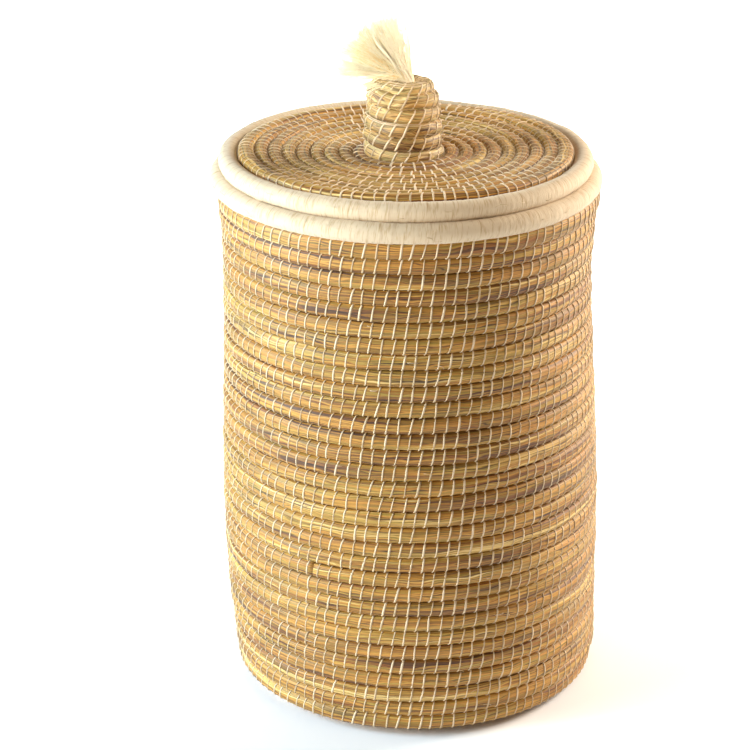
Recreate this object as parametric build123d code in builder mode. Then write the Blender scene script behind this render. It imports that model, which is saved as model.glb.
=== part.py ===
from build123d import *
from math import acos, atan, ceil, cos, degrees, pi, radians, sin, sqrt
import os

# Coiled grass laundry basket with a lift-off lid. One long bundle of grass winds out across the base and up
# the wall, a second one winds down a hollow knob and out across the lid. A roll wrapped in raw fibre runs round
# the mouth, a like roll round the lid rests on it, and a tassel of the same fibre comes out of the knob.
# The origin is at the middle of the base on the floor, +Z is up and the front is towards -Y.

# Basket bundle, base and wall
bundle_diameter = 15.6
turn_gap = 0.6              # clear space between neighbouring turns of a bundle
wall_turns = 31.5           # turns of wall from the foot to the rim, counted at the front
wall_mean_radius = 190.2    # outside of the wall, halfway between belly and neck
wall_swell = 4.6            # how far the belly stands out from that radius, and the neck in
belly_height = 170.0
neck_height = 470.0
base_eye_radius = 11.5      # centre line of the innermost turn of the base
foot_flat = 0.5             # depth to which the base is pressed flat

# Rim roll
rim_diameter = 19.5
rim_overhang = 7.6          # middle of the roll, outside the middle of the top turn
wrap_thickness = 1.4
wrap_clearance = 0.3

# Lid
lid_roll_diameter = 19.5
lid_inset = 9.1             # middle of the lid's roll, inside the middle of the rim roll
lid_seat_gap = 0.3
lid_bundle_diameter = 13.5
lid_dish = 5.0              # rise of the lid from the knob's foot to its last turn

# Knob, radii to the middle of its bundle
knob_foot_radius = 40.5
knob_radius = 31.0
knob_turns = 5.72
shoulder_turns = 1.0        # top turn, which leans in over the turn below it
shoulder_lean = 62.0        # slant from one to the other at the mouth, from upright, in degrees

# Thinned-out ends of the bundles
taper_turns = 0.36

# Tassel
knot_diameter = 30.0
tassel_clearance = 0.4
tuft_root_diameter = 20.0
tuft_rise = 3.5             # pivot of the tuft above the top of the knob
tuft_length = 58.0
tuft_locks = 11
lock_root_diameter = 8.4
lock_tip_diameter = 5.0
tuft_lean = 40.0            # middle of the tuft, from upright towards -X, in degrees
tuft_spread = 84.0          # angle between its outermost locks
tuft_depth = 11.0           # angle by which every other lock leans forward or back

# Sizes that follow from these
bundle_radius = bundle_diameter / 2
bundle_pitch = bundle_diameter + turn_gap
base_height = bundle_radius - foot_flat
corner_step = 0.42 * bundle_pitch
corner_turn = 0.7
wall_end = wall_turns + 0.25
wall_third = wall_end / 3

rim_radius = rim_diameter / 2
lid_roll_radius = lid_roll_diameter / 2
lid_bundle_radius = lid_bundle_diameter / 2
lid_pitch = lid_bundle_diameter + turn_gap


def wall_line(height):
    """Radius of the middle of the wall's bundle at a height."""
    swing = pi * (height - belly_height) / (neck_height - belly_height)
    return wall_mean_radius - bundle_radius + wall_swell * cos(swing)


base_edge = wall_line(base_height) - corner_step
top_height = base_height + bundle_pitch * wall_turns

# The rim lies parallel to the slope of the top turn, so it falls a quarter pitch from the middle to the right.
# Over that half turn a flat ring and a helix part by ring_misfit of the pitch at most.
ring_misfit = sin(acos(2 / pi)) / 4 - acos(2 / pi) / (2 * pi)
rim_line = wall_line(top_height) + rim_overhang
rim_tilt = degrees(atan(bundle_pitch / 4 / rim_line))
rim_rise = sqrt((bundle_radius + rim_radius + turn_gap) ** 2 - rim_overhang**2) + ring_misfit * bundle_pitch
rim_normal = Vector(sin(radians(rim_tilt)), 0, cos(radians(rim_tilt)))
rim_along = Vector(cos(radians(rim_tilt)), 0, -sin(radians(rim_tilt)))
rim_plane = Plane(origin=(0, 0, top_height + rim_rise), x_dir=rim_along, z_dir=rim_normal)

lid_line = rim_line - lid_inset
lid_rise = sqrt((rim_radius + lid_roll_radius + lid_seat_gap) ** 2 - lid_inset**2)
lid_plane = rim_plane.offset(lid_rise)

# The lid's spiral is a quarter pitch off centre, so that its last half turn in front lies evenly in the roll.
lid_offset = lid_pitch / 4
lid_edge = lid_line - lid_roll_radius - lid_bundle_radius - turn_gap - ring_misfit * lid_pitch + lid_offset
lid_turns = (lid_edge - knob_foot_radius) / lid_pitch
knob_plane = Plane(
    origin=lid_plane.from_local_coords(Vector(-lid_offset, 0, 0)), x_dir=rim_along, z_dir=rim_normal
)
shoulder_start = knob_turns - shoulder_turns

# Sampling of the centre lines
arcs_per_turn = 4
samples_per_arc = 4
taper_sections = 8
tangent_step = 0.0005


def basket_point(turn):
    """Middle of the basket's bundle, in turns from where the base turns up into the wall."""
    height = base_height + bundle_pitch * max(turn, 0)
    if turn <= 0:
        radius = base_edge + bundle_pitch * turn
    else:
        climbed = min(turn / corner_turn, 1)
        radius = wall_line(height) - corner_step * (1 - sin(pi / 2 * climbed))
    angle = -pi / 2 - 2 * pi * (turn - wall_turns)
    return Vector(radius * cos(angle), radius * sin(angle), height)


def lid_profile(turn):
    """Radius and height of the middle of the lid's bundle, in turns from the knob's foot, where it turns out
    into the lid."""
    if turn >= 0:
        return knob_foot_radius + lid_pitch * turn, lid_dish * (turn / lid_turns) ** 2
    if turn > -shoulder_start:
        climbed = min(-turn / corner_turn, 1)
        radius = knob_foot_radius - (knob_foot_radius - knob_radius) * sin(pi / 2 * climbed)
        return radius, -lid_pitch * turn
    radius, height = lid_profile(turn + 1)
    lean = radians(shoulder_lean) * sin(pi / 2 * min((-turn - shoulder_start) / shoulder_turns, 1))
    return radius - lid_pitch * sin(lean), height + lid_pitch * cos(lean)


def lid_point(turn):
    """Middle of the lid's bundle, in the same turns."""
    radius, height = lid_profile(turn)
    angle = 2 * pi * (turn - lid_turns)
    return knob_plane.from_local_coords(Vector(radius * cos(angle), radius * sin(angle), height))


def heading(point, turn):
    """Direction in which a centre line runs at a turn."""
    return (point(turn + tangent_step) - point(turn - tangent_step)).normalized()


def biarc_joint(start, start_way, end, end_way):
    """Point where two arcs meet that leave start and reach end along the given directions."""
    chord = end - start
    along = chord.dot(start_way + end_way)
    bend = 2 * (1 - start_way.dot(end_way))
    reach = (sqrt(along**2 + bend * chord.dot(chord)) - along) / bend
    return (start + end + (start_way - end_way) * reach) * 0.5


def wind(point, first, last, diameter):
    """Sweeps a stretch of bundle along biarcs of at most a quarter turn, and returns their arcs."""
    steps = ceil((last - first) * arcs_per_turn)
    turns = [first + (last - first) * step / steps for step in range(steps + 1)]
    with BuildLine() as middle:
        for before, after in zip(turns, turns[1:]):
            ways = heading(point, before), heading(point, after)
            joint = biarc_joint(point(before), ways[0], point(after), ways[1])
            TangentArc(point(before), joint, tangent=ways[0])
            TangentArc(joint, point(after), tangent=heading_at_joint(point(before), ways[0], joint))
    with BuildSketch(Plane(origin=point(first), z_dir=heading(point, first))) as section:
        Circle(diameter / 2)
    sweep(section.sketch, path=middle.wire())
    return middle.edges()


def heading_at_joint(start, way, joint):
    """Direction at the end of an arc that leaves start along way and ends at joint."""
    chord = (joint - start).normalized()
    return chord * (2 * chord.dot(way)) - way


def taper(point, end, way, diameter, pitch):
    """Lofts the thinned-out end of a bundle, which fills the narrowing room between the turn beside it and
    the roll that goes round the coil. way is +1 or -1 in turns."""
    sections = []
    for step in range(taper_sections + 1):
        past_end = taper_turns * step / taper_sections
        turn = end + way * past_end
        thickness = pitch * (3 / 4 + cos(2 * pi * past_end) / 4 - past_end) - turn_gap
        beside = point(turn - way)
        reach = ((diameter + thickness) / 2 + turn_gap) / pitch
        origin = beside + (point(turn) - beside) * reach
        plane = Plane(origin=origin, x_dir=point(turn) - beside, z_dir=heading(point, turn) * way)
        with BuildSketch(plane) as section:
            Circle(thickness / 2)
        sections.append(section.sketch)
    loft(sections)


def least_gap(arcs, diameter):
    """Least space between a bundle and its next turn, from points on each arc to the arcs a turn on."""
    round_trip = 2 * arcs_per_turn
    nearest = min(
        other.distance_to(arc @ (step / samples_per_arc))
        for here, arc in enumerate(arcs)
        for other in arcs[here + round_trip - 2 : here + round_trip + 3]
        for step in range(samples_per_arc + 1)
    )
    return nearest - diameter


def ring(plane, line, outer_radius, inner_radius=0):
    """Revolves a round section, hollow or full, about a plane's axis."""
    with BuildSketch(Plane(origin=plane.origin, x_dir=plane.x_dir, z_dir=-plane.y_dir)) as section:
        with Locations((line, 0)):
            Circle(outer_radius)
            if inner_radius:
                Circle(inner_radius, mode=Mode.SUBTRACT)
    revolve(section.sketch, axis=Axis(plane.origin, plane.z_dir))


def keep(piece, name):
    """Names a finished piece and writes it."""
    piece.part.label = name
    export_step(piece.part, f"parts/{name}.step")


os.makedirs("parts", exist_ok=True)

# Base: a flat spiral, pressed flat where it stands
base_start = (base_eye_radius - base_edge) / bundle_pitch
with BuildPart() as base_coil:
    base_arcs = wind(basket_point, base_start, 0, bundle_diameter)
    split(bisect_by=Plane.XY, keep=Keep.TOP)
keep(base_coil, "base_coil")

# Wall: a helix in three stretches end to end, the lowest pressed flat where it leaves the base
with BuildPart() as wall_coil_lower:
    lower_arcs = wind(basket_point, 0, wall_third, bundle_diameter)
    split(bisect_by=Plane.XY, keep=Keep.TOP)
keep(wall_coil_lower, "wall_coil_lower")

with BuildPart() as wall_coil_middle:
    middle_arcs = wind(basket_point, wall_third, 2 * wall_third, bundle_diameter)
keep(wall_coil_middle, "wall_coil_middle")

with BuildPart() as wall_coil_upper:
    upper_arcs = wind(basket_point, 2 * wall_third, wall_end, bundle_diameter)
    taper(basket_point, wall_end, 1, bundle_diameter, bundle_pitch)
keep(wall_coil_upper, "wall_coil_upper")

# Rim roll: a ring of grass inside a wrap of raw fibre
with BuildPart() as rim_core:
    ring(rim_plane, rim_line, rim_radius - wrap_thickness - wrap_clearance)
keep(rim_core, "rim_core")

with BuildPart() as rim_wrap:
    ring(rim_plane, rim_line, rim_radius, rim_radius - wrap_thickness)
keep(rim_wrap, "rim_wrap")

# Lid roll, built alike, which nests on the inner shoulder of the rim roll
with BuildPart() as lid_rim_core:
    ring(lid_plane, lid_line, lid_roll_radius - wrap_thickness - wrap_clearance)
keep(lid_rim_core, "lid_rim_core")

with BuildPart() as lid_rim_wrap:
    ring(lid_plane, lid_line, lid_roll_radius, lid_roll_radius - wrap_thickness)
keep(lid_rim_wrap, "lid_rim_wrap")

# Lid and knob: one bundle, from the mouth of the knob down and out to the roll
with BuildPart() as lid_coil:
    lid_arcs = wind(lid_point, 0, lid_turns, lid_bundle_diameter)
    taper(lid_point, lid_turns, 1, lid_bundle_diameter, lid_pitch)
keep(lid_coil, "lid_coil")

with BuildPart() as knob_coil:
    knob_arcs = wind(lid_point, -knob_turns, 0, lid_bundle_diameter)
    taper(lid_point, -knob_turns, -1, lid_bundle_diameter, lid_pitch)
keep(knob_coil, "knob_coil")

# Tassel: a knot held under the mouth of the knob, and a tuft that swings on top of it
knob_mouth_radius, knob_mouth_height = lid_profile(-knob_turns)
knob_top = knob_mouth_height + lid_bundle_radius
tuft_pivot = knob_plane.from_local_coords(Vector(0, 0, knob_top + tuft_rise))
neck_radius = knob_mouth_radius - lid_bundle_radius - tassel_clearance
knot_height = knob_top - lid_bundle_radius - knot_diameter / 2
tuft_root_radius = tuft_root_diameter / 2

with BuildPart() as tassel_knot:
    with Locations(knob_plane.offset(knot_height)):
        Sphere(knot_diameter / 2)
    with BuildSketch(knob_plane.offset(knot_height)):
        Circle(neck_radius)
    extrude(amount=knob_top - knot_height)
    with Locations(tuft_pivot):
        Sphere(tuft_root_radius + tassel_clearance, mode=Mode.SUBTRACT)
keep(tassel_knot, "tassel_knot")

with BuildPart() as tassel_tuft:
    with Locations(tuft_pivot):
        Sphere(tuft_root_radius)
    for lock in range(tuft_locks):
        swing = radians(tuft_lean + tuft_spread * (0.5 - lock / (tuft_locks - 1)))
        tilt = radians(tuft_depth * (lock % 3 - 1))
        way = Vector(-sin(swing) * cos(tilt), sin(tilt), cos(swing) * cos(tilt))
        with BuildSketch(Plane(origin=tuft_pivot, z_dir=way)) as lock_root:
            Circle(lock_root_diameter / 2)
        with BuildSketch(Plane(origin=tuft_pivot + way * tuft_length, z_dir=way)) as lock_tip:
            Circle(lock_tip_diameter / 2)
        loft([lock_root.sketch, lock_tip.sketch])
keep(tassel_tuft, "tassel_tuft")

basket_arcs = base_arcs + lower_arcs + middle_arcs + upper_arcs
print(f"least gap of the basket's bundle to itself: {least_gap(basket_arcs, bundle_diameter):.3f} mm")
print(f"least gap of the lid's bundle to itself: {least_gap(knob_arcs + lid_arcs, lid_bundle_diameter):.3f} mm")
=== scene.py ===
from collections import namedtuple
from math import cos, pi, radians, sin, tan

import bmesh
import bpy
import numpy as np
from mathutils import Matrix, Vector


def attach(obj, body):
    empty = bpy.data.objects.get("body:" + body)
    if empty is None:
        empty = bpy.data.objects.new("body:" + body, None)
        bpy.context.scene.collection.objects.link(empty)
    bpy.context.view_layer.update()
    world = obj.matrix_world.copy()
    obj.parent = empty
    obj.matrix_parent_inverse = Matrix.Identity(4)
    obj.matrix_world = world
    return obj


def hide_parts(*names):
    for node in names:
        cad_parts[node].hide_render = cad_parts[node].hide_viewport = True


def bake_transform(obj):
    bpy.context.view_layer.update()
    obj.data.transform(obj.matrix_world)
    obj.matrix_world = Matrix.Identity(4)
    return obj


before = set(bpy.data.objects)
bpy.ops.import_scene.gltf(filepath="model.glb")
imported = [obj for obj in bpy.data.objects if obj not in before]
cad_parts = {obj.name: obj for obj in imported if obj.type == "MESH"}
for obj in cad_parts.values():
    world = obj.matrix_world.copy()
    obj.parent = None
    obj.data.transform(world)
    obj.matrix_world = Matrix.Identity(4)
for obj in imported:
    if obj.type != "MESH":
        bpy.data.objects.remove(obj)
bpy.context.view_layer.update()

MM = 0.001

# Basket bundle, as the part's source has it
BUNDLE = 15.6 * MM
TURN_GAP = 0.6 * MM
WALL_TURNS = 31.5
WALL_RUN_ON = 0.25           # turns that the full bundle runs on before it thins out
WALL_MEAN_RADIUS = 190.2 * MM
WALL_SWELL = 4.6 * MM
BELLY_HEIGHT = 170 * MM
NECK_HEIGHT = 470 * MM
BASE_EYE_RADIUS = 11.5 * MM
FOOT_FLAT = 0.5 * MM
CORNER_TURN = 0.7            # turns over which a bundle turns from lying flat to climbing
CORNER_STEP = 0.42           # how far the base's last turn stays inside the wall, in pitches
TAPER_TURNS = 0.36           # turns over which a bundle's end thins out

# Unevenness of a wall sewn by eye: the foot stands to the right and the top rows flare on the right
FOOT_SHIFT = 4.4 * MM
FOOT_SHIFT_HEIGHT = 105 * MM
TOP_FLARE = 6 * MM
TOP_FLARE_DEPTH = 75 * MM

# Rolls and lid
ROLL_RADIUS = 9.75 * MM
RIM_OVERHANG = 7.6 * MM
LID_INSET = 9.1 * MM
LID_SEAT_GAP = 0.3 * MM
LID_BUNDLE = 13.5 * MM
LID_DISH = 5 * MM

# Knob, radii to the middle of its bundle
KNOB_FOOT_RADIUS = 40.5 * MM
KNOB_RADIUS = 31 * MM
KNOB_TURNS = 5.72
KNOB_RUN_ON = 0.25           # turns that the knob's end runs on, level, behind the tassel
SHOULDER_TURNS = 1
SHOULDER_LEAN = radians(62)
KNOB_PULL = 2.8 * MM         # how far sewing draws the top rows of the knob into line
KNOB_PULLED_TURNS = 3

# Tassel
KNOT_RADIUS = 15 * MM
KNOT_STRAND_RADIUS = 3.6 * MM
KNOT_LOOPS = 7
KNOT_TIP = radians(58)       # how far each loop is tipped
KNOT_SHADE = 0.4
TUFT_ROOT = 24 * MM          # how far the strands reach down into the knob
TUFT_LOCKS = 15
TUFT_STRANDS = 1500
TUFT_STATIONS = 14
TUFT_WIDTHS = (0.7, 1.5)     # millimetres
TUFT_LENGTH = 58 * MM
TUFT_LENGTH_SHARES = (0.94, 1.05)
TUFT_LEAN = radians(50)
TUFT_SPREAD = radians(76)
LOCK_TILT = radians(11)      # how far locks, and the strands of a lock, stray to the sides
STRAND_TILT = radians(6)
STRAND_SWING = radians(3.5)
DROOP_PLACE = 0.82           # where the last lock droops, in spreads from the middle of the fan
DROOP_LENGTH = 0.6           # its length as a share of the others
NECK_RADIUS = 12 * MM
NECK_BEND_DEPTH = 8 * MM     # depth in the knob where the strands start to bend over
NECK_BEND_LENGTH = 17 * MM
NECK_GATHER = 0.12           # how much closer together the strands are at the bend
WAVE_HEIGHT = 0.8 * MM
WAVES = 2.4
TIP_THINNING = 0.65          # how much of its width a strand loses towards its tip
ACROSS = (0.31, 0.83, 0.46)  # a direction that no strand runs in, to measure its sides from

# Look of the bundles
ROW_SQUARENESS = 2.8         # exponent of the bundle's section, 2 is round
ROW_SQUEEZE = 0.1 * MM       # how far neighbouring turns press into each other
WALL_END_SWELL = 1.8 * MM    # how much fuller the last turn is, which fills the room under a roll
LID_END_SWELL = 0.8 * MM
SWELL_TURNS = 1.3            # turns from the end that are fuller, and turns over which they become so
SWELL_EASE = 0.3
UNEVEN_THICKNESS = 0.3 * MM  # how unevenly a bundle lies
UNEVEN_OUT = 0.5 * MM
UNEVEN_UP = 0.35 * MM
STALKS_AROUND = 40
STALK_RIDGE = 0.2 * MM       # how far stalks stand out or in
STALK_RINGS = 14             # rings of the mesh over which a ridge gives way to the next
STITCH_PINCH = 0.2 * MM      # how far a stitch draws the bundle in
STITCH_BULGE = 0.14 * MM     # between two stitches
MAP_SHIFT = 977              # millimetres between two stretches' maps, so that no two are streaked alike
BASE_RINGS = 104             # rings of the mesh to a turn
LID_RINGS = 150
KNOB_RINGS = 84

# Stitches
WALL_STITCHES = 104.13       # per turn: the odd part shifts each row's stitches a little to the left below
LID_STITCH_SPACING = 10.5 * MM
KNOB_STITCHES = 18.46        # per turn: each stitch starts where the one in the row above ends
STRAND_WIDTH = 1.75 * MM
STRAND_THICKNESS = 1.1 * MM
STRAND_SIDES = 4
STRAND_STEPS = 14
STRAND_PROUD = 0.3 * MM
STRAND_HOOK = 0.8 * MM       # how far a stitch's ends are dragged along by the next turn
WIDTH_SCATTER = 0.16
PLACE_SCATTER = 0.6 * MM
TWIST_SCATTER = 0.055
WALL_SLANT = tan(radians(8))
KNOB_SLANT = tan(radians(20))
LID_SLANT = -tan(radians(13))
FINE_STEPS = 4000

# Loose strands: those laid along the knob, and frayed ends, with their ranges in millimetres
LAID_STATIONS = 15
LAID_WIDTH = 1.1 * MM
LAID_PROUD = 0.8 * MM
LAID_SHADE = 0.6
FRAY_STATIONS = 7
FRAY_WIDTHS = (0.35, 0.7)
FRAY_SHADES = (0, 0.6)
FRAY_RUNS = (4, 10)
FRAY_LIFTS = (0.6, 2.2)
FRAY_STARTS = (-6, 6)
FRAY_FALLS = (-5, 5)
FRAY_PROUD = 0.5 * MM
FRAY_SINK = 0.4 * MM
FRAY_CURL = 1.9

# Length and width in millimetres of a run of stalks that strays together
STRAY_LENGTH = 45
STRAY_WIDTH = 7

# Wrapping of the rolls
BAND_WIDTH = 5.5 * MM
BAND_RINGS = 4
BAND_LIFT = 0.08 * MM        # how unevenly the bands lie
WRAP_SLANT = 0.08
ROLL_AROUND = 28
ROLL_LUMPS = 60
ROLL_LUMP_HEIGHT = 0.22 * MM
ROLL_FULLNESS = 0.3 * MM     # how far the two rolls press into each other
RING_END = 9                 # a turn that no point of a ring reaches

# Sizes that follow from these
pitch = BUNDLE + TURN_GAP
lid_pitch = LID_BUNDLE + TURN_GAP
base_height = BUNDLE / 2 - FOOT_FLAT
corner_step = CORNER_STEP * pitch
wall_end = WALL_TURNS + WALL_RUN_ON
wall_third = wall_end / 3


def wall_line(height):
    """Radius of the middle of the wall's bundle at a height."""
    swing = pi * (height - BELLY_HEIGHT) / (NECK_HEIGHT - BELLY_HEIGHT)
    return WALL_MEAN_RADIUS - BUNDLE / 2 + WALL_SWELL * np.cos(swing)


base_edge = wall_line(base_height) - corner_step
base_start = (BASE_EYE_RADIUS - base_edge) / pitch
top_height = base_height + pitch * WALL_TURNS
ring_misfit = sin(np.arccos(2 / pi)) / 4 - np.arccos(2 / pi) / (2 * pi)
rim_line = wall_line(top_height) + RIM_OVERHANG
rim_tilt = np.arctan(pitch / 4 / rim_line)
rim_seat = np.sqrt((BUNDLE / 2 + ROLL_RADIUS + TURN_GAP) ** 2 - RIM_OVERHANG**2)
lid_line = rim_line - LID_INSET
lid_rise = np.sqrt((2 * ROLL_RADIUS + LID_SEAT_GAP) ** 2 - LID_INSET**2)
lid_offset = lid_pitch / 4
lid_edge = lid_line - ROLL_RADIUS - LID_BUNDLE / 2 - TURN_GAP - ring_misfit * lid_pitch + lid_offset
lid_turns = (lid_edge - KNOB_FOOT_RADIUS) / lid_pitch
shoulder_start = KNOB_TURNS - SHOULDER_TURNS
knob_sewn_turns = KNOB_TURNS + KNOB_RUN_ON

# Frames of the basket, which stands straight, and of the rim, lid and knob, which tilt with its top row
basket_frame = Matrix.Identity(4)
rim_frame = Matrix.Translation((0, 0, top_height + rim_seat + ring_misfit * pitch))
rim_frame = rim_frame @ Matrix.Rotation(rim_tilt, 4, "Y")
lid_frame = rim_frame @ Matrix.Translation((0, 0, lid_rise))
knob_frame = lid_frame @ Matrix.Translation((-lid_offset, 0, 0))

# A wound bundle. line(turn) gives radius and height of its middle, angle(turn) where it is round the axis.
# It thins out past taper_at, the way that taper_way counts. Its stitches lean by lean_up or lean_out, unruly
# says how unevenly its stalks lie, and swell how much fuller its last turn is.
Coil = namedtuple("Coil", "line angle frame thickness pitch taper_at taper_way lean_up lean_out unruly swell")


def basket_line(turn):
    """Radius and height of the basket's bundle, in turns from where the base turns up into the wall. The foot
    stands a little to the right and the top rows flare out on the right, because it is sewn by eye."""
    height = base_height + pitch * np.maximum(turn, 0)
    climbed = np.clip(turn / CORNER_TURN, 0, 1)
    wall = wall_line(height) - corner_step * (1 - np.sin(pi / 2 * climbed))
    to_right = np.cos(basket_angle(turn))
    shift = FOOT_SHIFT * np.clip(1 - height / FOOT_SHIFT_HEIGHT, 0, 1) * to_right
    flare = TOP_FLARE * np.clip(1 - (top_height - height) / TOP_FLARE_DEPTH, 0, 1) * np.maximum(to_right, 0)
    return np.where(turn <= 0, base_edge + pitch * turn, wall) + shift + flare, height


def basket_angle(turn):
    """Angle of the basket's bundle round the axis."""
    return -pi / 2 - 2 * pi * (turn - WALL_TURNS)


def lid_stack(turn):
    """Radius and height of the lid's bundle, in turns from where the knob's foot turns out into the lid. The
    top turn of the knob leans in over the turn below it."""
    leaning = turn <= -shoulder_start
    if np.any(leaning):
        radius, height = lid_stack(np.where(leaning, turn + 1, turn))
        lean = SHOULDER_LEAN * np.sin(pi / 2 * np.clip((-turn - shoulder_start) / SHOULDER_TURNS, 0, 1))
        step = np.where(leaning, lid_pitch, 0)
        return radius - step * np.sin(lean), height + step * np.cos(lean)
    climbed = np.clip(-turn / CORNER_TURN, 0, 1)
    knob = KNOB_FOOT_RADIUS - (KNOB_FOOT_RADIUS - KNOB_RADIUS) * np.sin(pi / 2 * climbed)
    radius = np.where(turn >= 0, KNOB_FOOT_RADIUS + lid_pitch * turn, knob)
    return radius, np.where(turn >= 0, LID_DISH * (turn / lid_turns) ** 2, -lid_pitch * turn)


def lid_line_at(turn):
    """Radius and height of the lid's bundle, with the rows at the knob's shoulder drawn into line and its end
    tucked in level behind the tassel."""
    radius, height = lid_stack(np.maximum(turn, -KNOB_TURNS))
    below_mouth = np.clip(KNOB_TURNS + TAPER_TURNS + turn, 0, KNOB_PULLED_TURNS)
    pull = KNOB_PULL * np.cos(pi / 2 * below_mouth) * (below_mouth < KNOB_PULLED_TURNS)
    return radius + pull, height


def lid_angle(turn):
    """Angle of the lid's bundle round the axis."""
    return 2 * pi * (turn - lid_turns)


wall_coil = Coil(line=basket_line, angle=basket_angle, frame=basket_frame, thickness=BUNDLE, pitch=pitch,
                 taper_at=wall_end, taper_way=1, lean_up=WALL_SLANT, lean_out=0, unruly=1,
                 swell=WALL_END_SWELL)
base_coil = wall_coil._replace(lean_up=0, lean_out=WALL_SLANT)
lid_coil = Coil(line=lid_line_at, angle=lid_angle, frame=knob_frame, thickness=LID_BUNDLE, pitch=lid_pitch,
                taper_at=lid_turns, taper_way=1, lean_up=0, lean_out=LID_SLANT, unruly=1, swell=LID_END_SWELL)
knob_coil = lid_coil._replace(taper_at=-knob_sewn_turns, taper_way=-1, lean_up=KNOB_SLANT, lean_out=0,
                              unruly=2, swell=WALL_END_SWELL)
knob_top = lid_stack(-KNOB_TURNS)[1] + LID_BUNDLE / 2


def rim_ring_line(turn):
    """Radius and height of the rim's roll in its own frame."""
    return rim_line + 0 * turn, 0 * turn


def lid_ring_line(turn):
    """Radius and height of the lid's roll in its own frame."""
    return lid_line + 0 * turn, 0 * turn


def ring_angle(turn):
    """Angle of a roll round the axis."""
    return 2 * pi * turn


# The rolls are rings with no end, so they would thin out at a turn that is never reached
rim_ring = Coil(line=rim_ring_line, angle=ring_angle, frame=rim_frame, thickness=2 * ROLL_RADIUS,
                pitch=2 * ROLL_RADIUS + TURN_GAP, taper_at=RING_END, taper_way=1, lean_up=0, lean_out=0,
                unruly=1, swell=0)
lid_ring = rim_ring._replace(line=lid_ring_line, frame=lid_frame)


def middle(coil, turn):
    """Radius, height and thickness of a bundle at a turn, thinned out past its end."""
    past_end = np.clip((turn - coil.taper_at) * coil.taper_way, 0, TAPER_TURNS)
    thickness = coil.pitch * (3 / 4 + np.cos(2 * pi * past_end) / 4 - past_end) - TURN_GAP
    reach = ((coil.thickness + thickness) / 2 + TURN_GAP) / coil.pitch
    radius, height = coil.line(turn)
    beside_radius, beside_height = coil.line(turn - coil.taper_way)
    radius = np.where(past_end > 0, beside_radius + (radius - beside_radius) * reach, radius)
    height = np.where(past_end > 0, beside_height + (height - beside_height) * reach, height)
    return radius, height, thickness


def placed(matrix, x, y, z):
    """Points of a frame in the object's own frame, as an array of rows."""
    turn = np.array(matrix.to_3x3())
    return np.stack([x, y, z], -1) @ turn.T + np.array(matrix.translation)


def on_coil(coil, turn, out, up):
    """Points set off from a bundle's middle, out from the axis and up, leaning as the stitches do."""
    radius, height, _ = middle(coil, turn)
    slide = coil.lean_up * up + coil.lean_out * out
    angle = coil.angle(turn) + slide / radius
    return placed(coil.frame, (radius + out) * np.cos(angle), (radius + out) * np.sin(angle), height + up)


def section(angle, half):
    """Outline of a bundle pressed between its neighbours, between a circle and a square."""
    power = 2 / ROW_SQUARENESS
    out = half * np.sign(np.cos(angle)) * np.abs(np.cos(angle)) ** power
    up = half * np.sign(np.sin(angle)) * np.abs(np.sin(angle)) ** power
    return out, up


def stray(turn, rate, phase):
    """Smooth wandering between -1 and 1 along a bundle, with about rate waves a turn."""
    slow = np.sin(2 * pi * rate * turn + phase)
    middling = np.sin(2 * pi * 2.37 * rate * turn + 2.1 * phase)
    quick = np.sin(2 * pi * 5.13 * rate * turn + 3.7 * phase)
    return (slow + middling + 0.6 * quick) / 2.6


def skin(coil, turn, angle, proud):
    """A bundle's uneven skin, or a line proud of it, set off from the bundle's middle."""
    share = middle(coil, turn)[2] / coil.thickness
    loose = coil.unruly * share
    half = (coil.thickness + TURN_GAP) / 2 + ROW_SQUEEZE
    last_turn = np.clip((SWELL_TURNS - (coil.taper_at - turn) * coil.taper_way) / SWELL_EASE, 0, 1)
    swell = coil.swell * last_turn * np.minimum(3 * share, 1)
    out, up = section(angle, half * share + swell + UNEVEN_THICKNESS * loose * stray(turn, 2.3, 1) + proud)
    out = out + UNEVEN_OUT * loose * stray(turn, 1.7, 2)
    up = up + UNEVEN_UP * loose * stray(turn, 1.3, 3)
    return out, up


def wander(rng, count, step, columns):
    """Smooth random walks about zero, with a new value every step rows."""
    knots = rng.normal(size=(count // step + 3, columns)).clip(-2, 2)
    place = np.arange(count) / step
    before = place.astype(int)
    share = (place - before)[:, None]
    share = share * share * (3 - 2 * share)
    return knots[before] * (1 - share) + knots[before + 1] * share


def coordinates(mesh):
    """A mesh's vertices as an array of rows."""
    flat = np.empty(len(mesh.vertices) * 3)
    mesh.vertices.foreach_get("co", flat)
    return flat.reshape(-1, 3)


def move_to(mesh, points):
    """Moves a mesh's vertices to given points."""
    mesh.vertices.foreach_set("co", np.ascontiguousarray(points, dtype=float).ravel())
    mesh.update()


def finish_piece(name, mesh, material, body, slot, *nodes):
    """Makes an object of a mesh, with its material, body and the nodes that it stands for. The slot is not
    used.
    """
    piece = bpy.data.objects.new(name, mesh)
    bpy.context.scene.collection.objects.link(piece)
    mesh.materials.clear()
    mesh.materials.append(material)
    mesh.shade_smooth()
    if body:
        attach(piece, body)
    if nodes:
        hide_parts(*nodes)
    return piece


def close_tube(mesh):
    """Joins the seam of a rolled-up grid and closes its ends."""
    bm = bmesh.new()
    bm.from_mesh(mesh)
    bmesh.ops.remove_doubles(bm, verts=bm.verts, dist=0.001 * MM)
    bmesh.ops.holes_fill(bm, edges=[edge for edge in bm.edges if edge.is_boundary])
    bmesh.ops.recalc_face_normals(bm, faces=bm.faces)
    bm.to_mesh(mesh)
    bm.free()


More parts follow.
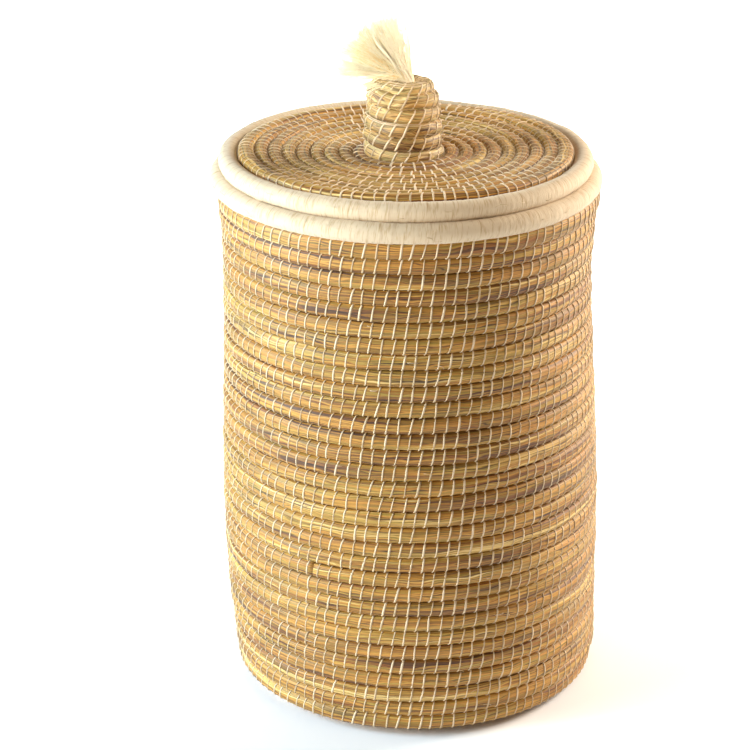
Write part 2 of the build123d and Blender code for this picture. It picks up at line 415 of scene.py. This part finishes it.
def bundle(name, coil, first, last, rings_per_turn, seed, material, body, *nodes):
    """A stretch of bundle: a grid rolled up round the coil, ridged with stalks and drawn in at each stitch.
    The rings of the mesh stand in turn on a stitch and between two."""
    rng = np.random.default_rng(seed)
    rings = 2 * round((last - first) * rings_per_turn / 2)
    bm = bmesh.new()
    bm.loops.layers.uv.new("lay")
    bmesh.ops.create_grid(bm, x_segments=rings, y_segments=STALKS_AROUND, size=0.5, calc_uvs=True)
    mesh = bpy.data.meshes.new(name)
    bm.to_mesh(mesh)
    bm.free()

    shares = coordinates(mesh)[:, :2] + 0.5
    ring = np.rint(shares[:, 0] * rings).astype(int)
    stalk = np.rint(shares[:, 1] * STALKS_AROUND).astype(int) % STALKS_AROUND
    turn = first + (last - first) * shares[:, 0]
    angle = 2 * pi * shares[:, 1]

    ridges = wander(rng, rings + 1, round(STALK_RINGS / coil.unruly), STALKS_AROUND)
    ridge = STALK_RIDGE * coil.unruly * ridges[ring, stalk]
    pinch = np.where(ring % 2 == 0, -STITCH_PINCH, STITCH_BULGE)
    out, up = skin(coil, turn, angle, (ridge + pinch) * middle(coil, turn)[2] / coil.thickness)
    points = on_coil(coil, turn, out, up)
    points[:, 2] = np.maximum(points[:, 2], 0)
    move_to(mesh, points)

    # Stretch the map to millimetres: u along the bundle, v round it
    turns = np.linspace(first, last, rings + 1)
    steps = 2 * pi * middle(coil, turns)[0][1:] * (last - first) / rings
    run = np.concatenate([[0], np.cumsum(steps)]) / MM
    flat = np.empty(len(mesh.loops) * 2)
    mesh.uv_layers["lay"].uv.foreach_get("vector", flat)
    flat = flat.reshape(-1, 2)
    flat[:, 0] = np.interp(flat[:, 0], np.linspace(0, 1, rings + 1), run) + MAP_SHIFT * seed
    flat[:, 1] *= pi * coil.thickness / MM
    mesh.uv_layers["lay"].uv.foreach_set("vector", flat.ravel())
    close_tube(mesh)
    return finish_piece(name, mesh, material, body, "grass", *nodes)


def ring_shape(line, radius, around, rings):
    """A ring spun from a circle, level and round the axis."""
    bm = bmesh.new()
    upright = Matrix.Translation((line, 0, 0)) @ Matrix.Rotation(pi / 2, 4, "X")
    profile = bmesh.ops.create_circle(bm, segments=around, radius=radius, matrix=upright)
    bmesh.ops.spin(bm, geom=profile["verts"] + bm.edges[:], cent=(0, 0, 0), axis=(0, 0, 1), angle=2 * pi,
                   steps=rings, use_merge=True)
    bmesh.ops.recalc_face_normals(bm, faces=bm.faces)
    return bm


def repeated(bm, count):
    """A mesh of many copies of a small shape, in order, all in one place."""
    template = bpy.data.meshes.new("template")
    bm.to_mesh(template)
    bm.free()
    holder = bpy.data.objects.new("template", template)
    bpy.context.scene.collection.objects.link(holder)
    array = holder.modifiers.new("copies", "ARRAY")
    array.count = count
    array.use_relative_offset = False
    array.use_constant_offset = True
    array.constant_offset_displace = (0, 0, 0)
    bpy.context.view_layer.update()
    mesh = bpy.data.meshes.new_from_object(holder.evaluated_get(bpy.context.evaluated_depsgraph_get()))
    corners = coordinates(template)
    bpy.data.objects.remove(holder)
    bpy.data.meshes.remove(template)
    return mesh, np.tile(corners, (count, 1)), np.repeat(np.arange(count), len(corners))


def tint(mesh, values):
    """Gives each vertex a shade from 0 to 1 for its material."""
    shade = mesh.attributes.new("shade", "FLOAT", "POINT")
    shade.data.foreach_set("value", values)


def stitches(name, coil, turns, seed, material, body):
    """Flat strands sewn round a bundle, each one a loop that lies in the grooves beside it."""
    rng = np.random.default_rng(seed)
    mesh, corners, copy = repeated(ring_shape(1, 0.5, STRAND_SIDES, STRAND_STEPS), len(turns))

    angle = np.arctan2(corners[:, 1], corners[:, 0])
    proud = np.hypot(corners[:, 0], corners[:, 1]) - 1
    width = STRAND_WIDTH * (1 + WIDTH_SCATTER * rng.normal(size=len(turns)).clip(-2, 2))[copy]
    shift = PLACE_SCATTER * rng.normal(size=len(turns)).clip(-2, 2)[copy]
    twist = TWIST_SCATTER * rng.normal(size=len(turns)).clip(-2, 2)[copy]
    turn = np.asarray(turns)[copy]
    radius = middle(coil, turn)[0]
    out, up = skin(coil, turn, angle, STRAND_PROUD + proud * STRAND_THICKNESS)
    sign = 1 if coil.angle(1.0) > coil.angle(0.0) else -1
    across = up if coil.lean_up else out
    hook = STRAND_HOOK * (2 * across / coil.thickness) ** 3
    along = corners[:, 2] * width + shift + twist * across + sign * hook
    points = on_coil(coil, turn + along / (2 * pi * radius), out, up)
    points[:, 2] = np.maximum(points[:, 2], 0)
    move_to(mesh, points)
    tint(mesh, rng.uniform(size=len(turns))[copy])
    return finish_piece(name, mesh, material, body, "raw_fibre")


def counted(first, last, per_turn):
    """Turns at which stitches stand, so many to a turn."""
    return first + (np.arange(round((last - first) * per_turn)) + 0.5) / per_turn


def evenly_sewn(coil, first, last, spacing):
    """Turns at which stitches stand a steady distance apart on a bundle whose radius changes."""
    turns = np.linspace(first, last, FINE_STEPS)
    run = np.concatenate([[0], np.cumsum(2 * pi * middle(coil, turns)[0][1:] * np.diff(turns))])
    return np.interp(np.arange(spacing / 2, run[-1], spacing), run, turns)


def unwrapped(steps, full):
    """Counts round a circle at each face's corners, with no jump back to nought inside a face."""
    return np.where(steps.max(axis=1, keepdims=True) - steps > full / 2, steps + full, steps)


def roll(name, matrix, line, seed, material, body, *nodes):
    """A roll wrapped in raw fibre, which lies in bands that overlap a little."""
    rng = np.random.default_rng(seed)
    bands = round(2 * pi * line / BAND_WIDTH)
    rings = bands * BAND_RINGS
    bm = ring_shape(line, ROLL_RADIUS, ROLL_AROUND, rings)
    mesh = bpy.data.meshes.new(name)
    bm.to_mesh(mesh)
    bm.free()

    points = coordinates(mesh)
    angle = np.arctan2(points[:, 1], points[:, 0])
    ring = np.rint(angle / (2 * pi) * rings).astype(int) % rings
    out = np.hypot(points[:, 0], points[:, 1]) - line
    up = points[:, 2]
    place = np.rint((np.arctan2(up, out) / (2 * pi) + 0.5) * ROLL_AROUND).astype(int) % ROLL_AROUND
    band_lift = BAND_LIFT * rng.normal(size=bands).clip(-2, 2)
    band_slope = 2 * (ring % BAND_RINGS) / (BAND_RINGS - 1) - 1
    lift = band_lift[ring // BAND_RINGS] + BAND_LIFT * band_slope
    lift = lift + BAND_LIFT * rng.normal(size=(rings, ROLL_AROUND)).clip(-2, 2)[ring, place]
    lumps = rng.normal(size=ROLL_LUMPS).clip(-2, 2)
    lump = np.interp(angle, np.linspace(-pi, pi, ROLL_LUMPS + 1), np.append(lumps, lumps[0]))
    scale = 1 + (lift + ROLL_LUMP_HEIGHT * lump + ROLL_FULLNESS) / ROLL_RADIUS
    angle = angle + WRAP_SLANT * up / line
    radius = line + out * scale
    move_to(mesh, placed(matrix, radius * np.cos(angle), radius * np.sin(angle), up * scale))

    # Map in millimetres: u along the roll, v round it, carried on past the full circle in the last faces
    lay = mesh.uv_layers.new(name="lay")
    corner = np.empty(len(mesh.loops), dtype=np.int32)
    mesh.loops.foreach_get("vertex_index", corner)
    u = unwrapped(ring[corner].reshape(-1, 4), rings) * 2 * pi * line / rings / MM
    v = unwrapped(place[corner].reshape(-1, 4), ROLL_AROUND) * 2 * pi * ROLL_RADIUS / ROLL_AROUND / MM
    lay.uv.foreach_set("vector", np.stack([u.ravel(), v.ravel()], -1).ravel())
    return finish_piece(name, mesh, material, body, "raw_fibre", *nodes)


def strands(name, paths, widths, shades, material, body, slot, *nodes):
    """Thin tapering fibres along given paths, an array of strand, point and xyz."""
    count, stations, _ = paths.shape
    bm = bmesh.new()
    bmesh.ops.create_cone(bm, cap_ends=True, segments=3, radius1=0.5, radius2=0.5, depth=1)
    long_edges = [edge for edge in bm.edges if abs(edge.verts[0].co.z - edge.verts[1].co.z) > 0.5]
    bmesh.ops.subdivide_edges(bm, edges=long_edges, cuts=stations - 2)
    mesh, corners, copy = repeated(bm, count)

    station = np.rint((corners[:, 2] + 0.5) * (stations - 1)).astype(int)
    along = np.gradient(paths, axis=1)
    along /= np.linalg.norm(along, axis=2, keepdims=True)
    side = np.cross(along, ACROSS)
    side /= np.linalg.norm(side, axis=2, keepdims=True)
    over = np.cross(along, side)
    width = widths[copy] * (1 - TIP_THINNING * (station / (stations - 1)) ** 2)
    points = paths[copy, station]
    points = points + side[copy, station] * (corners[:, 0] * width)[:, None]
    points = points + over[copy, station] * (corners[:, 1] * width)[:, None]
    move_to(mesh, points)
    tint(mesh, shades[copy])
    return finish_piece(name, mesh, material, body, slot, *nodes)


def linear(code):
    """Linear colour from an sRGB hex code."""
    parts = [int(code[place:place + 2], 16) / 255 for place in (0, 2, 4)]
    return [part / 12.92 if part <= 0.04045 else ((part + 0.055) / 1.055) ** 2.4 for part in parts] + [1]


def add(tree, kind, links=None, stops=(), **settings):
    """Adds a node, sets its values, inputs and any ramp's stops, and links its inputs to given outputs."""
    node = tree.nodes.new("ShaderNode" + kind)
    for key, value in settings.items():
        if hasattr(node, key):
            setattr(node, key, value)
        else:
            node.inputs[key.replace("_", " ")].default_value = value
    for number, (place, code) in enumerate(stops):
        elements = node.color_ramp.elements
        element = elements[number] if number < 2 else elements.new(place)
        element.position = place
        element.color = linear(code)
    for key, output in (links or {}).items():
        tree.links.new(output, node.inputs[key])
    return node


def new_material(name):
    """A material with an empty node tree."""
    material = bpy.data.materials.new(name)
    material.use_nodes = True
    tree = material.node_tree
    tree.nodes.clear()
    return material, tree


def close_material(tree, shader):
    """Links a shader to the material's output."""
    tree.links.new(shader.outputs[0], add(tree, "OutputMaterial").inputs["Surface"])


def dry_grass(name, sway, stops):
    """Dried grass stalks, laid side by side: long streaks of straw, gold, olive and brown, waxy but dull, and
    painted shade in the gaps between stalks. The stalks stray from the bundle's run by up to sway
    millimetres."""
    material, tree = new_material(name)
    straight = add(tree, "UVMap", uv_map="lay").outputs["UV"]
    slow = add(tree, "Mapping", {"Vector": straight}, Scale=(1 / STRAY_LENGTH, 1 / STRAY_WIDTH, 1))
    strayed = add(tree, "TexNoise", {"Vector": slow.outputs[0]}, noise_dimensions="2D", Scale=1.0, Detail=1)
    aside = add(tree, "MapRange", {"Value": strayed.outputs["Fac"]}, To_Min=-sway, To_Max=sway)
    shift = add(tree, "CombineXYZ", {"Y": aside.outputs[0]})
    lay = add(tree, "VectorMath", {0: straight, 1: shift.outputs[0]}, operation="ADD").outputs[0]

    # Length and width in millimetres of a handful, a stalk, a brown sheath, which also paints shade in the
    # gaps between stalks, and the lines along a stalk, whose darkest part is painted shade between stalks
    streaks = {}
    for streak, length, width, detail in [("handful", 700, 26, 1), ("stalk", 240, 2.6, 2),
                                          ("sheath_and_gap_shade", 120, 2.4, 1), ("line", 110, 0.75, 2)]:
        place = add(tree, "Mapping", {"Vector": lay}, Scale=(1 / length, 1 / width, 1))
        noise = add(tree, "TexNoise", {"Vector": place.outputs[0]}, noise_dimensions="2D", Scale=1.0,
                    Detail=detail, Roughness=0.55)
        streaks[streak] = noise.outputs["Fac"]
    mixed = add(tree, "Math", {0: streaks["handful"], 2: streaks["stalk"]}, operation="MULTIPLY_ADD")
    mixed.inputs[1].default_value = 0.7
    spread = add(tree, "MapRange", {"Value": mixed.outputs[0]}, From_Min=0.58, From_Max=1.12)
    stalk = add(tree, "ValToRGB", {0: spread.outputs[0]}, stops)
    # Brown sheaths, which also stand for painted shade: thin dark lines in the gaps between stalks
    brown = add(tree, "ValToRGB", {0: streaks["sheath_and_gap_shade"]}, [(0.64, "000000"), (0.71, "d8d8d8")])
    sheathed_and_gap_shaded = add(tree, "Mix", {0: brown.outputs[0], 6: stalk.outputs[0]}, data_type="RGBA")
    sheathed_and_gap_shaded.inputs[7].default_value = linear("5e3c18")
    # Lines along the stalks; their dark end is painted shade in the gaps between stalks
    line = add(tree, "ValToRGB", {0: streaks["line"]}, [(0.3, "46301a"), (0.56, "ffffff"), (0.42, "ccb994")])
    lined_and_gap_shaded = add(tree, "Mix", {6: sheathed_and_gap_shaded.outputs[2], 7: line.outputs[0]}, data_type="RGBA",
                blend_type="MULTIPLY", Factor=0.85)
    bump = add(tree, "Bump", {"Height": streaks["line"]}, Strength=0.5, Distance=0.5 * MM)
    shader = add(tree, "BsdfPrincipled", {"Base Color": lined_and_gap_shaded.outputs[2], "Normal": bump.outputs[0]},
                 Roughness=0.62, Sheen_Weight=0.2, Sheen_Roughness=0.4, Sheen_Tint=linear("fff2d8"),
                 Coat_Weight=0.2, Coat_Roughness=0.5)
    close_material(tree, shader)
    return material


def sewing_strand():
    """Split palm leaf, flat and pale, with a soft gloss: strands lighter or darker, and a little mottled."""
    material, tree = new_material("split_leaf_strand")
    shade = add(tree, "Attribute", attribute_name="shade").outputs["Fac"]
    place = add(tree, "TexCoord").outputs["Object"]
    mottle = add(tree, "TexNoise", {"Vector": place}, Scale=1 / (3 * MM), Detail=2).outputs["Fac"]
    mixed = add(tree, "Math", {0: shade, 1: mottle}, operation="ADD")
    colour = add(tree, "ValToRGB", {0: mixed.outputs[0]},
                 [(0.3, "b09470"), (1.0, "dac3a2"), (0.7, "c7ad88")])
    bump = add(tree, "Bump", {"Height": mottle}, Strength=0.2, Distance=0.3 * MM)
    shader = add(tree, "BsdfPrincipled", {"Base Color": colour.outputs[0], "Normal": bump.outputs[0]},
                 Roughness=0.55)
    close_material(tree, shader)
    return material


def raw_fibre_wrap():
    """Raw fibre wound tight round a roll: cream, soft and matt, with short fine lines across the roll."""
    material, tree = new_material("raw_fibre_wrap")
    lay = add(tree, "UVMap", uv_map="lay").outputs["UV"]

    # Width and length in millimetres of the fine lines and of the broader bands
    layers = {}
    for layer, width, length, detail in [("line", 0.9, 9, 3), ("band", 3, 26, 2)]:
        place = add(tree, "Mapping", {"Vector": lay}, Scale=(1 / width, 1 / length, 1))
        noise = add(tree, "TexNoise", {"Vector": place.outputs[0]}, noise_dimensions="2D", Scale=1.0,
                    Detail=detail)
        layers[layer] = noise.outputs["Fac"]
    both = add(tree, "Math", {0: layers["line"], 1: layers["band"]}, operation="ADD")
    colour = add(tree, "ValToRGB", {0: both.outputs[0]},
                 [(0.55, "b3956c"), (1.0, "d6c2a4"), (0.75, "c4ab87"), (0.9, "cfb898")])
    bump = add(tree, "Bump", {"Height": layers["line"]}, Strength=0.6, Distance=0.5 * MM)
    shader = add(tree, "BsdfPrincipled", {"Base Color": colour.outputs[0], "Normal": bump.outputs[0]},
                 Roughness=0.8, Sheen_Weight=0.15, Sheen_Roughness=0.5)
    close_material(tree, shader)
    return material


def tassel_fibre():
    """Loose raw fibre, fine and silky: pale cream, each strand a little lighter or darker."""
    material, tree = new_material("loose_raw_fibre")
    shade = add(tree, "Attribute", attribute_name="shade").outputs["Fac"]
    place = add(tree, "TexCoord").outputs["Object"]
    mottle = add(tree, "TexNoise", {"Vector": place}, Scale=1 / (6 * MM), Detail=1).outputs["Fac"]
    mixed = add(tree, "Math", {0: shade, 1: mottle}, operation="ADD")
    colour = add(tree, "ValToRGB", {0: mixed.outputs[0]},
                 [(0.4, "f6d795"), (1.0, "fff6da"), (0.75, "fcebbe")])
    shader = add(tree, "BsdfPrincipled", {"Base Color": colour.outputs[0]}, Roughness=0.5, Sheen_Weight=0.5,
                 Sheen_Roughness=0.5, Sheen_Tint=linear("fff4da"))
    close_material(tree, shader)
    return material


def studio_floor():
    """Matt white paper, an even pale ground."""
    material, tree = new_material("white_paper")
    close_material(tree, add(tree, "BsdfPrincipled", Base_Color=linear("f6f8fc"), Roughness=0.9))
    return material


grass = dry_grass("dry_grass_stalks", 2.5,
                  [(0.0, "5e3910"), (1.0, "e8c880"), (0.16, "a26420"), (0.3, "96782c"), (0.44, "c28632"),
                   (0.58, "d09a42"), (0.72, "9e8434"), (0.86, "d2a44c")])
# Paler, more olive straw for the knob, and painted light besides: its colours are also lighter to stand in
# for the stronger light on the knob
pale_painted_light_grass = dry_grass("pale_painted_light_grass_stalks", 6,
                       [(0.0, "6a4822"), (1.0, "ead2a0"), (0.16, "a5793c"), (0.3, "9a8a50"), (0.44, "c29650"),
                        (0.58, "cfab6a"), (0.72, "a8985c"), (0.86, "d4b678")])
strand = sewing_strand()
wrap = raw_fibre_wrap()
fibre = tassel_fibre()

# Basket: wall and base, with their stitches. Each piece has a seed of its own.
stretches = [("lower", 0.0, wall_third), ("middle", wall_third, 2 * wall_third),
             ("upper", 2 * wall_third, wall_end + TAPER_TURNS)]
for number, (name, first, last) in enumerate(stretches):
    bundle("wall_grass_" + name, wall_coil, first, last, 2 * WALL_STITCHES, 3 + number, grass, "basket",
           "wall_coil_" + name)
    wall_sewn = counted(first, last, WALL_STITCHES)
    stitches("wall_stitches_" + name, wall_coil, wall_sewn, 13 + number, strand, "basket")

bundle("base_grass", base_coil, base_start, 0.0, BASE_RINGS, 7, grass, "basket", "base_coil")
base_sewn = evenly_sewn(base_coil, base_start, 0, LID_STITCH_SPACING)
stitches("base_stitches", base_coil, base_sewn, 17, strand, "basket")

# Lid and knob, with their stitches
bundle("lid_grass", lid_coil, 0.0, lid_turns + TAPER_TURNS, LID_RINGS, 8, grass, "lid", "lid_coil")
lid_sewn = evenly_sewn(lid_coil, 0, lid_turns + TAPER_TURNS, LID_STITCH_SPACING)
stitches("lid_stitches", lid_coil, lid_sewn, 18, strand, "lid")
bundle("knob_grass", knob_coil, -knob_sewn_turns - TAPER_TURNS, 0.0, KNOB_RINGS, 9, pale_painted_light_grass, "lid",
       "knob_coil")
knob_sewn = counted(-knob_sewn_turns, 0, KNOB_STITCHES)
stitches("knob_stitches", knob_coil, knob_sewn, 19, strand, "lid")

# Wrapped rolls of the rim and the lid
roll("rim_roll", rim_frame, rim_line, 21, wrap, "basket", "rim_wrap", "rim_core")
roll("lid_roll", lid_frame, lid_line, 22, wrap, "lid", "lid_rim_wrap", "lid_rim_core")


def tassel_paths(count, stations, seed):
    """Wavy strands in locks, which leave the neck close together and fan out to one side."""
    rng = np.random.default_rng(seed)
    share = np.linspace(0, 1, stations)[None, :]
    lock = rng.integers(0, TUFT_LOCKS, (count, 1))
    lock_swing = TUFT_LEAN + TUFT_SPREAD * np.append(np.linspace(-0.5, 0.5, TUFT_LOCKS - 1), DROOP_PLACE)
    lock_tilt = LOCK_TILT * rng.normal(size=TUFT_LOCKS).clip(-1.5, 1.5)
    lock_phase = rng.uniform(0, 2 * pi, TUFT_LOCKS)
    swing = lock_swing[lock] + STRAND_SWING * rng.normal(size=(count, 1)).clip(-2, 2)
    tilt = lock_tilt[lock] + STRAND_TILT * rng.normal(size=(count, 1)).clip(-2, 2)
    lock_length = TUFT_LENGTH * np.where(lock < TUFT_LOCKS - 1, 1, DROOP_LENGTH)
    length = TUFT_ROOT + lock_length * rng.uniform(*TUFT_LENGTH_SHARES, (count, 1))
    root = NECK_RADIUS * np.sqrt(rng.uniform(0, 1, (count, 1)))
    round_neck = rng.uniform(0, 2 * pi, (count, 1))
    above_neck = (share * length - TUFT_ROOT + NECK_BEND_DEPTH) / NECK_BEND_LENGTH
    bend = np.clip(above_neck, 0, 1)
    lean = swing * bend
    step_x = -np.sin(lean) * np.cos(tilt * bend)
    step_y = np.sin(tilt * bend)
    step_z = np.cos(lean) * np.cos(tilt * bend)
    walk = [np.cumsum(step * length / (stations - 1), axis=1) for step in (step_x, step_y, step_z)]
    wave = WAVE_HEIGHT * bend * np.sin(2 * pi * WAVES * share + lock_phase[lock])
    gather = 1 - NECK_GATHER * np.sin(pi * bend)
    x = root * np.cos(round_neck) * gather + walk[0] + wave * np.cos(lean)
    y = root * np.sin(round_neck) * gather + walk[1]
    z = knob_top - TUFT_ROOT + walk[2] + wave * np.sin(lean)
    lock_tone = rng.uniform(0, 1, TUFT_LOCKS)
    return placed(knob_frame, x, y, z), 0.5 * lock_tone[lock[:, 0]] + 0.5 * rng.uniform(0, 1, count)


tuft_paths, tuft_shades = tassel_paths(TUFT_STRANDS, TUFT_STATIONS, 31)
tuft_widths = np.random.default_rng(32).uniform(*TUFT_WIDTHS, TUFT_STRANDS) * MM
tassel = strands("tassel_strands", tuft_paths, tuft_widths, tuft_shades, fibre, None, "tassel_fibre",
                 "tassel_tuft")
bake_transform(tassel)


def knot(name, turns, material, body, *nodes):
    """The tassel's knot under the mouth of the knob: a thick strand wound over itself in turning loops."""
    loop = ring_shape(KNOT_RADIUS - KNOT_STRAND_RADIUS, KNOT_STRAND_RADIUS, around=10, rings=28)
    mesh, corners, copy = repeated(loop, turns)
    spread = np.linspace(0, 2 * pi, turns, endpoint=False)[copy]
    x = corners[:, 0] * cos(KNOT_TIP) + corners[:, 2] * sin(KNOT_TIP)
    y = corners[:, 1]
    z = corners[:, 2] * cos(KNOT_TIP) - corners[:, 0] * sin(KNOT_TIP)
    knot_height = knob_top - LID_BUNDLE / 2 - KNOT_RADIUS
    move_to(mesh, placed(knob_frame, x * np.cos(spread) - y * np.sin(spread),
                         x * np.sin(spread) + y * np.cos(spread), z + knot_height))
    tint(mesh, np.full(len(copy), KNOT_SHADE))
    return finish_piece(name, mesh, material, body, "tassel_fibre", *nodes)


knot("tassel_knot_loops", KNOT_LOOPS, fibre, "lid", "tassel_knot")


def frayed_ends(coil, first, last, count, seed):
    """Short curls of strand that have come loose from the stitches on a bundle's outer face."""
    rng = np.random.default_rng(seed)
    share = np.linspace(0, 1, FRAY_STATIONS)[None, :]
    turn = rng.uniform(first, last, (count, 1))
    run = rng.uniform(*FRAY_RUNS, (count, 1)) * MM * rng.choice([-1, 1], (count, 1))
    face = skin(coil, turn, 0 * turn, FRAY_PROUD)[0]
    lift = rng.uniform(*FRAY_LIFTS, (count, 1)) * MM
    start = rng.uniform(*FRAY_STARTS, (count, 1)) * MM
    fall = rng.uniform(*FRAY_FALLS, (count, 1)) * MM
    out = face + lift * np.sin(pi * (0.15 + 0.75 * share)) - FRAY_SINK
    up = start + fall * share * share
    turn = turn + run * np.sin(FRAY_CURL * share) / (2 * pi * middle(coil, turn)[0])
    return on_coil(coil, turn, out, up)


def laid_strands(coil, spans):
    """Long strands laid along a bundle, each with its first turn, last turn and place on the section."""
    spans = np.array(spans)
    turn = np.linspace(spans[:, 0], spans[:, 1], LAID_STATIONS, axis=1)
    out, up = skin(coil, turn, spans[:, 2:], LAID_PROUD)
    return on_coil(coil, turn, out, up)


def loose_ends(name, body, seed, coil, first, last, count):
    """A piece of frayed ends, spread over a stretch of bundle or a roll."""
    rng = np.random.default_rng(seed)
    widths = rng.uniform(*FRAY_WIDTHS, count) * MM
    shades = rng.uniform(*FRAY_SHADES, count)
    paths = frayed_ends(coil, first, last, count, seed + 1)
    return strands(name, paths, widths, shades, strand, body, "raw_fibre")


loose_ends("wall_frayed_ends", "basket", 41, wall_coil, 0.5, WALL_TURNS - 0.5, 90)
loose_ends("rim_frayed_ends", "basket", 51, rim_ring, 0, 1, 34)
loose_ends("lid_frayed_ends", "lid", 61, lid_ring, 0, 1, 26)
loose_ends("knob_frayed_ends", "lid", 71, knob_coil, -KNOB_TURNS, 0, 22)

# Strands that run round the front of the knob, at half its height and along its top edge. The front is a
# quarter turn back from the right, where the lid's bundle ends.
front_turn = lid_turns - 0.25 - np.ceil(lid_turns)
knob_spans = [(front_turn - 2.24, front_turn - 1.94, 0.95), (front_turn - 2.2, front_turn - 1.88, 0.7),
              (front_turn - 5.12, front_turn - 4.86, 1.2), (front_turn - 5.1, front_turn - 4.9, 0.85)]
laid_widths = np.full(len(knob_spans), LAID_WIDTH)
laid_shades = np.full(len(knob_spans), LAID_SHADE)
strands("knob_laid_strands", laid_strands(knob_coil, knob_spans), laid_widths, laid_shades, strand, "lid",
        "raw_fibre")

# Floor, which reaches FLOOR_REACH metres each way
FLOOR_REACH = 8
floor_bm = bmesh.new()
bmesh.ops.create_grid(floor_bm, x_segments=1, y_segments=1, size=FLOOR_REACH)
floor_mesh = bpy.data.meshes.new("floor")
floor_bm.to_mesh(floor_mesh)
floor_bm.free()
floor = bpy.data.objects.new("floor", floor_mesh)
floor_mesh.materials.append(studio_floor())
bpy.context.scene.collection.objects.link(floor)


def area_light(name, place, aim, size, power, spread, code):
    """A soft square light that points at a place."""
    light = bpy.data.lights.new(name, "AREA")
    light.size = size
    light.energy = power
    light.spread = radians(spread)
    light.color = linear(code)[:3]
    lamp = bpy.data.objects.new(name, light)
    lamp.location = place
    lamp.rotation_euler = (Vector(aim) - Vector(place)).to_track_quat("-Z", "Y").to_euler()
    bpy.context.scene.collection.objects.link(lamp)


# Lights: place, aim and size in metres, power in watts, spread in degrees, colour
area_light("left_light", (-2.4, -0.35, 1.2), (0, 0, 0.4), 1.2, 102, 180, "d0edff")
area_light("right_light", (2.1, 0.95, 1.2), (0, 0, 0.3), 1.2, 107, 180, "fff6e8")
area_light("front_left_light", (-1.8, -0.9, 0.6), (0, 0, 0.25), 0.6, 12, 120, "f4f6f0")
area_light("knob_light", (-0.4, -1.6, 1.0), (-0.03, 0, 0.8), 0.3, 0.74, 20, "fff4e2")
area_light("floor_light", (0, 2.3, 1.7), (0, 2.3, 0), 2.4, 60, 100, "ffffff")

world = bpy.data.worlds.new("studio")
world.use_nodes = True
background = world.node_tree.nodes["Background"]
background.inputs["Color"].default_value = linear("ffead0")
background.inputs["Strength"].default_value = 0.335
bpy.context.scene.world = world
bpy.context.scene.view_settings.view_transform = "Standard"

# Camera: place, aim and focal length worked out from the photograph's rows and rims
FOCAL_PIXELS = 2437
IMAGE_PIXELS = 750
CAMERA_PLACE = Vector((0, -2.3334, 1.2655))
CAMERA_PITCH = radians(22.092)
CAMERA_YAW = radians(-0.8506)
CAMERA_ROLL = radians(-1.1286)
level_right = Vector((cos(CAMERA_YAW), -sin(CAMERA_YAW), 0))
level_ahead = Vector((sin(CAMERA_YAW), cos(CAMERA_YAW), 0))
ahead = level_ahead * cos(CAMERA_PITCH) - Vector((0, 0, sin(CAMERA_PITCH)))
above = level_ahead * sin(CAMERA_PITCH) + Vector((0, 0, cos(CAMERA_PITCH)))
right = level_right * cos(CAMERA_ROLL) + above * sin(CAMERA_ROLL)
top = above * cos(CAMERA_ROLL) - level_right * sin(CAMERA_ROLL)
camera_data = bpy.data.cameras.new("camera")
camera_data.sensor_width = 36
camera_data.lens = camera_data.sensor_width * FOCAL_PIXELS / IMAGE_PIXELS
camera = bpy.data.objects.new("camera", camera_data)
camera.matrix_world = Matrix.Translation(CAMERA_PLACE) @ Matrix((right, top, -ahead)).transposed().to_4x4()
bpy.context.scene.collection.objects.link(camera)
bpy.context.scene.camera = camera
